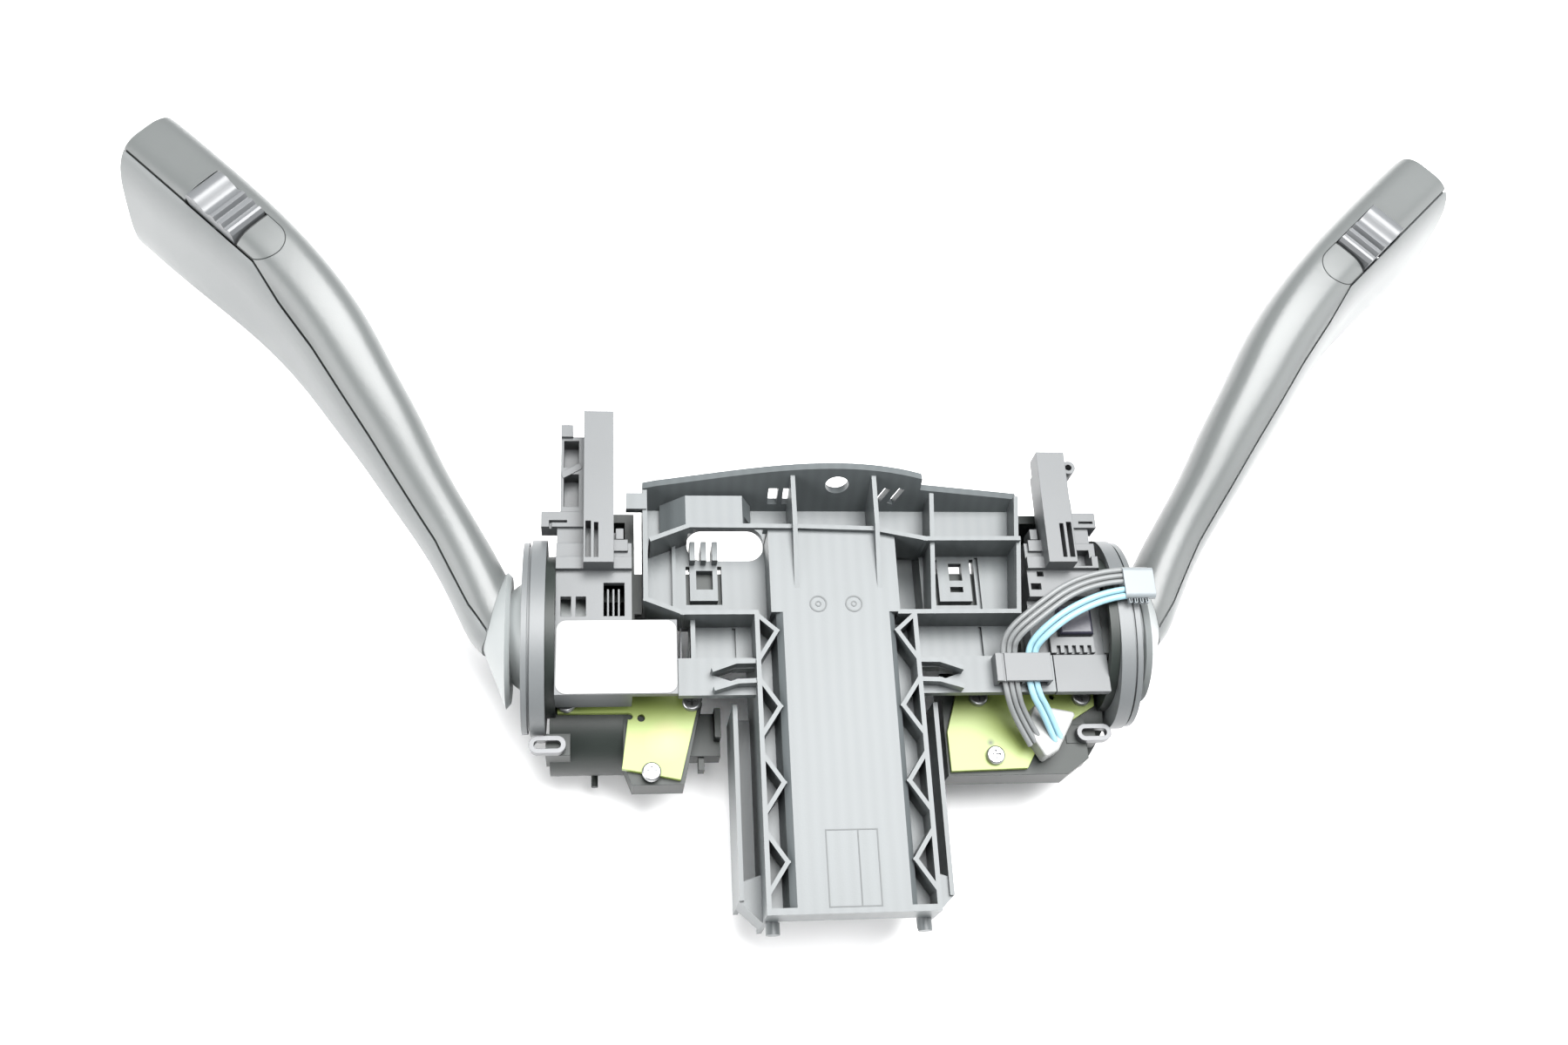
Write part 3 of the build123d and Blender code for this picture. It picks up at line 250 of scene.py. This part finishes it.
def material(name):
    """Surface from its row of finishes: broad tone variation, fine grain and rounded edges."""
    colour, rough, spread, grain, depth = FINISHES[name]
    made = bpy.data.materials.new(name)
    made.use_nodes = True
    tree = made.node_tree
    shader = shader_of(made)
    place = tree.nodes.new("ShaderNodeTexCoord")
    broad = tree.nodes.new("ShaderNodeTexNoise")
    broad.inputs["Scale"].default_value = TONE_SCALE
    broad.inputs["Detail"].default_value = TONE_DETAIL
    ramp = tree.nodes.new("ShaderNodeValToRGB")
    dark, light = ramp.color_ramp.elements
    dark.position, light.position = TONE_STOPS
    dark.color = (*[max(c * (1 - spread), 0.0) for c in colour], 1)
    light.color = (*[min(c * (1 + spread), 1.0) for c in colour], 1)
    fine = tree.nodes.new("ShaderNodeTexNoise")
    fine.inputs["Scale"].default_value = grain
    fine.inputs["Detail"].default_value = GRAIN_DETAIL
    bump = tree.nodes.new("ShaderNodeBump")
    bump.inputs["Strength"].default_value = GRAIN_STRENGTH
    bump.inputs["Distance"].default_value = depth
    tree.links.new(place.outputs["Object"], broad.inputs["Vector"])
    tree.links.new(place.outputs["Object"], fine.inputs["Vector"])
    tree.links.new(broad.outputs["Fac"], ramp.inputs["Fac"])
    tree.links.new(ramp.outputs["Color"], shader.inputs["Base Color"])
    tree.links.new(fine.outputs["Fac"], bump.inputs["Height"])
    tree.links.new(bump.outputs["Normal"], shader.inputs["Normal"])
    if name not in SHARP_SURFACES:
        bevel = tree.nodes.new("ShaderNodeBevel")
        bevel.samples = EDGE_SAMPLES
        bevel.inputs["Radius"].default_value = EDGE_R
        tree.links.new(bevel.outputs["Normal"], bump.inputs["Normal"])
    shader.inputs["Roughness"].default_value = rough
    shader.inputs["Metallic"].default_value = METALLIC.get(name, 0.0)
    return made


def draw_lines(surface):
    """Faint lines that the mould leaves along the tongue, mixed into a surface's colour."""
    tree = surface.node_tree
    shader = shader_of(surface)
    colour = shader.inputs["Base Color"].links[0].from_socket
    place = tree.nodes.new("ShaderNodeTexCoord")
    wave = tree.nodes.new("ShaderNodeTexWave")
    wave.bands_direction = "X"
    wave.inputs["Scale"].default_value = LINES_SCALE
    wave.inputs["Distortion"].default_value = LINES_WANDER
    wave.inputs["Detail Scale"].default_value = LINES_DETAIL
    ramp = tree.nodes.new("ShaderNodeValToRGB")
    ramp.color_ramp.elements[0].color = (*LINES_DARKEST, 1)
    ramp.color_ramp.elements[1].color = (1, 1, 1, 1)
    mix = tree.nodes.new("ShaderNodeMix")
    mix.data_type = "RGBA"
    mix.blend_type = "MULTIPLY"
    mix.inputs["Factor"].default_value = 1.0
    tree.links.new(place.outputs["Object"], wave.inputs["Vector"])
    tree.links.new(wave.outputs["Fac"], ramp.inputs["Fac"])
    tree.links.new(colour, mix.inputs["A"])
    tree.links.new(ramp.outputs["Color"], mix.inputs["B"])
    tree.links.new(mix.outputs["Result"], shader.inputs["Base Color"])


def tinted_spot(surface, place, radius, colour):
    """Soft round spot of another colour on a surface."""
    tree = surface.node_tree
    shader = shader_of(surface)
    base = shader.inputs["Base Color"].links[0].from_socket
    coords = tree.nodes.new("ShaderNodeTexCoord")
    mapping = tree.nodes.new("ShaderNodeMapping")
    scale = MM_PER_METRE / radius
    mapping.inputs["Location"].default_value = [-value * scale for value in metres(*place)]
    mapping.inputs["Scale"].default_value = (scale, scale, scale)
    ball = tree.nodes.new("ShaderNodeTexGradient")
    ball.gradient_type = "SPHERICAL"
    mix = tree.nodes.new("ShaderNodeMix")
    mix.data_type = "RGBA"
    mix.inputs["B"].default_value = (*colour, 1)
    tree.links.new(coords.outputs["Object"], mapping.inputs["Vector"])
    tree.links.new(mapping.outputs["Vector"], ball.inputs["Vector"])
    tree.links.new(ball.outputs["Fac"], mix.inputs["Factor"])
    tree.links.new(base, mix.inputs["A"])
    tree.links.new(mix.outputs["Result"], shader.inputs["Base Color"])


def all_surfaces():
    """Every surface by name, with the tongue's lines and the boards' spots."""
    surfaces = {name: material(name) for name in FINISHES}
    draw_lines(surfaces["bracket_plastic"])
    shader_of(surfaces["housing_plastic"]).inputs["Specular IOR Level"].default_value = SHELL_SPECULAR
    tinted_spot(surfaces["board_green"], DARK_SPOT_PLACE, DARK_SPOT_R, BOARD_DARK)
    tinted_spot(surfaces["board_green_warm"], WARM_SPOT_PLACE, WARM_SPOT_R, BOARD_ORANGE)
    return surfaces


def paint_all(surfaces):
    """Gives every node its surface; screws, springs and pins are steel."""
    kinds = dict(NODE_SURFACES)
    for side in SIDES:
        for part, surface in SIDE_SURFACES.items():
            kinds[f"{side}_{part}"] = surface
    for name, node in nodes.items():
        node.data.materials.clear()
        node.data.materials.append(surfaces[kinds.get(name, "steel")])


def smooth_curved(node):
    """Smooth shading on a node, with its real edges kept sharp."""
    bpy.context.view_layer.objects.active = node
    node.select_set(True)
    bpy.ops.object.shade_smooth_by_angle(angle=math.radians(SMOOTH_DEGREES))
    node.select_set(False)


def piece(name, vertices, faces, surface):
    """Small fixed piece of the base, from its corners and faces."""
    mesh = bpy.data.meshes.new(name)
    mesh.from_pydata(vertices, [], faces)
    mesh.update()
    mesh.materials.append(surface)
    made = bpy.data.objects.new(name, mesh)
    bpy.context.scene.collection.objects.link(made)
    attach(made, "base")


def add_band(vertices, faces, outer, inner, z0, z1):
    """Closed raised band between two outlines of equal length."""
    first = len(vertices)
    count = len(outer)
    loops = ((outer, z0), (outer, z1), (inner, z1), (inner, z0))
    for outline, z in loops:
        vertices += [metres(x, y, z) for x, y in outline]
    for level in range(len(loops)):
        low = first + level * count
        high = first + (level + 1) % len(loops) * count
        for step in range(count):
            after = (step + 1) % count
            faces.append((low + step, low + after, high + after, high + step))


def circle(x, y, radius, count):
    """Points round a circle."""
    turns = [2 * math.pi * step / count for step in range(count)]
    return [(x + radius * math.cos(turn), y + radius * math.sin(turn)) for turn in turns]


def rectangle(x0, x1, y0, y1, inset=0.0):
    """Corners of a rectangle, drawn in by inset on every side."""
    left, right = x0 + inset, x1 - inset
    low, high = y0 + inset, y1 - inset
    return [(left, low), (right, low), (right, high), (left, high)]


def tongue_marks(surface):
    """Two round marks with dots, and a bare panel frame with a bar, raised a little on the tongue."""
    vertices, faces = [], []
    x0, x1, y0, y1 = PANEL
    bar_x = (x0 + x1) / 2 + BAR_ASIDE
    bar = (bar_x, bar_x + BAR_WIDTH, y0 + PANEL_LINE, y1 - PANEL_LINE)
    bands = []
    for place in RING_PLACES:
        for radius, line, steps in ((RING_R, RING_LINE, RING_STEPS), (DOT_R, DOT_LINE, DOT_STEPS)):
            bands.append((circle(*place, radius, steps), circle(*place, radius - line, steps)))
    for sides, line in ((PANEL, PANEL_LINE), (bar, BAR_LINE)):
        bands.append((rectangle(*sides), rectangle(*sides, inset=line)))
    for outer, inner in bands:
        add_band(vertices, faces, outer, inner, TONGUE_TOP, TONGUE_TOP + MARK_HEIGHT)
    piece("tongue_marks", vertices, faces, surface)


def sleeve_teeth(surface):
    """Short teeth along the sleeve's edge beside the blue leads."""
    vertices, faces = [], []
    for step in range(TEETH):
        x = TOOTH_X + step * TOOTH_PITCH
        sides = (x, x + TOOTH_WIDTH, *TOOTH_Y)
        add_band(vertices, faces, rectangle(*sides), rectangle(*sides, inset=TOOTH_WALL), *TOOTH_Z)
    piece("sleeve_teeth", vertices, faces, surface)


def upper_edges(name):
    """Both ends of each high edge of a node that lies between an upright and a flat face."""
    found = bmesh.new()
    found.from_mesh(nodes[name].data)
    bmesh.ops.remove_doubles(found, verts=found.verts, dist=SEAM_MERGE)
    ends = []
    for edge in found.edges:
        lowest = min(vertex.co.z for vertex in edge.verts)
        if len(edge.link_faces) != 2 or lowest < SEAM_LINE_LOW:
            continue
        upright, flat = sorted(abs(face.normal.z) for face in edge.link_faces)
        if upright < SEAM_UPRIGHT and flat > SEAM_FLAT:
            ends += [vertex.co.copy() for vertex in edge.verts]
    found.free()
    return ends


def insert_seam(side, surface):
    """Painted shadow: a dark line where the insert meets the front shell, along the insert's upper
    edges.
    """
    ends = upper_edges(f"{side}_tip_insert")
    mesh = bpy.data.meshes.new(f"{side}_insert_seam")
    mesh.from_pydata(ends, [(first, first + 1) for first in range(0, len(ends), 2)], [])
    line = bmesh.new()
    line.from_mesh(mesh)
    bmesh.ops.remove_doubles(line, verts=line.verts, dist=SEAM_MERGE)
    line.to_mesh(mesh)
    line.free()
    made = bpy.data.objects.new(f"{side}_insert_seam", mesh)
    bpy.context.scene.collection.objects.link(made)
    bpy.ops.object.select_all(action="DESELECT")
    made.select_set(True)
    bpy.context.view_layer.objects.active = made
    bpy.ops.object.convert(target="CURVE")
    made = bpy.context.object
    made.data.bevel_depth = SEAM_LINE_R
    made.data.bevel_resolution = SEAM_ROUNDNESS
    made.data.materials.clear()
    made.data.materials.append(surface)
    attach(made, f"{side}_lever_body")


def beside(points, aside):
    """A route moved sideways by aside at every point."""
    moved = []
    for step, (x, y, z) in enumerate(points):
        before = points[max(step - 1, 0)]
        after = points[min(step + 1, len(points) - 1)]
        run_x, run_y = after[0] - before[0], after[1] - before[1]
        length = math.hypot(run_x, run_y)
        moved.append((x - aside * run_y / length, y + aside * run_x / length, z))
    return moved


def lead(name, node, route, radius, surface):
    """One insulated lead on a smooth line, in place of its plain solid."""
    curve = bpy.data.curves.new(name, "CURVE")
    curve.dimensions = "3D"
    curve.bevel_depth = radius / MM_PER_METRE
    curve.bevel_resolution = LEAD_ROUNDNESS
    curve.resolution_u = LEAD_STEPS
    curve.use_fill_caps = True
    line = curve.splines.new("NURBS")
    line.points.add(len(route) - 1)
    for point, place in zip(line.points, route):
        point.co = (*metres(*place), 1)
    line.order_u = LEAD_ORDER
    line.use_endpoint_u = True
    curve.materials.append(surface)
    made = bpy.data.objects.new(name, curve)
    bpy.context.scene.collection.objects.link(made)
    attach(made, "base")
    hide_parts(node)


def all_leads(blue, grey):
    """Two blue leads and three grey ones, side by side through the clip."""
    for number, (aside, length) in enumerate(BLUE_LEADS, 1):
        lead(f"blue_lead_{number}", "blue_leads", beside(BLUE_ROUTE, aside), BLUE_LEAD_R, blue)
    for number, (aside, length) in enumerate(GREY_LEADS, 1):
        lead(f"grey_lead_{number}", "grey_leads", beside(GREY_ROUTE, aside), GREY_LEAD_R, grey)


def pale_floor(surface):
    """Floor that the resting faces stand on."""
    bpy.ops.mesh.primitive_plane_add(size=FLOOR_SIZE, location=(0, 0, 0))
    floor = bpy.context.object
    floor.name = "floor"
    floor.data.materials.append(surface)


def area_light(name, place, aim, size, power):
    """Soft square light."""
    data = bpy.data.lights.new(name, "AREA")
    data.size = size
    data.energy = power
    light = bpy.data.objects.new(name, data)
    light.location = place
    light.rotation_euler = (Vector(aim) - Vector(place)).to_track_quat("-Z", "Y").to_euler()
    bpy.context.scene.collection.objects.link(light)


def pale_sky():
    """Even pale light from all round, shown without a film look."""
    scene = bpy.context.scene
    scene.world = bpy.data.worlds.new("pale")
    scene.world.use_nodes = True
    background = scene.world.node_tree.nodes["Background"]
    background.inputs["Color"].default_value = (*SKY_COLOUR, 1)
    background.inputs["Strength"].default_value = SKY_STRENGTH
    scene.view_settings.view_transform = "Standard"


def photo_camera():
    """The photo's camera."""
    data = bpy.data.cameras.new("photo_camera")
    data.lens = LENS_MM
    data.sensor_width = SENSOR_MM
    camera = bpy.data.objects.new("photo_camera", data)
    back = -CAMERA_LOOK.normalized()
    right = CAMERA_UP.cross(back).normalized()
    up = back.cross(right)
    turn = Matrix((right, up, back)).transposed().to_4x4()
    camera.matrix_world = Matrix.Translation(CAMERA_AT) @ turn
    bpy.context.scene.collection.objects.link(camera)
    bpy.context.scene.camera = camera


surfaces = all_surfaces()
paint_all(surfaces)
for node in nodes.values():
    smooth_curved(node)
tongue_marks(surfaces["mark_plastic"])
sleeve_teeth(surfaces["sleeve_plastic"])
all_leads(surfaces["lead_blue"], surfaces["lead_grey"])
for side in SIDES:
    insert_seam(side, surfaces["seam_shadow"])
pale_floor(surfaces["floor_paper"])
for light in LIGHTS:
    area_light(*light)
pale_sky()
photo_camera()
